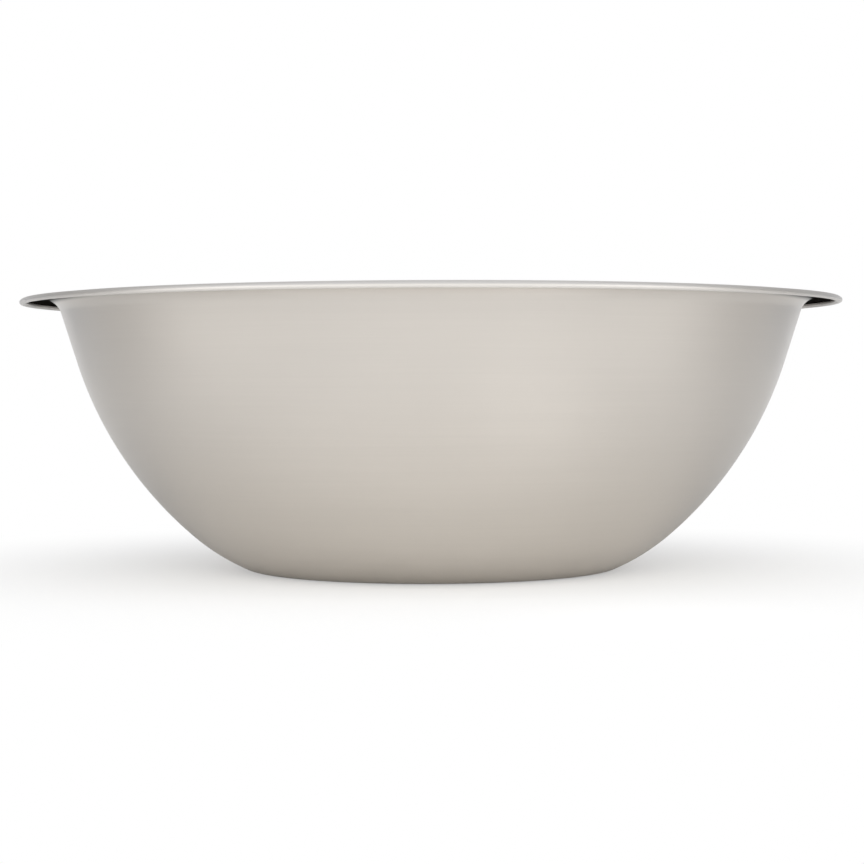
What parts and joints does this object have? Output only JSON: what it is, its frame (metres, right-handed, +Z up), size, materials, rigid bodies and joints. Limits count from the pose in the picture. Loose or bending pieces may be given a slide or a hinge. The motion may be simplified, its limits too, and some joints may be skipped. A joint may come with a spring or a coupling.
{
  "type": "mixing bowl",
  "caption": "Wide stainless steel mixing bowl with a round curved wall, a small flat base, a flared lip and a rolled edge.",
  "frame": {"origin": "centre of the flat base, on the face that the bowl rests on", "axes": "+Z up along the bowl's axis, towards the open mouth; the bowl is round, so X and Y are any two horizontal directions"},
  "size_m": [0.405, 0.405, 0.1345],
  "materials": {
    "stainless_steel": "satin, soft sheen, with fine turned lines round the axis"
  },
  "bodies": {
    "root": {"bowl_shell": "stainless_steel"}
  },
  "joints": []
}
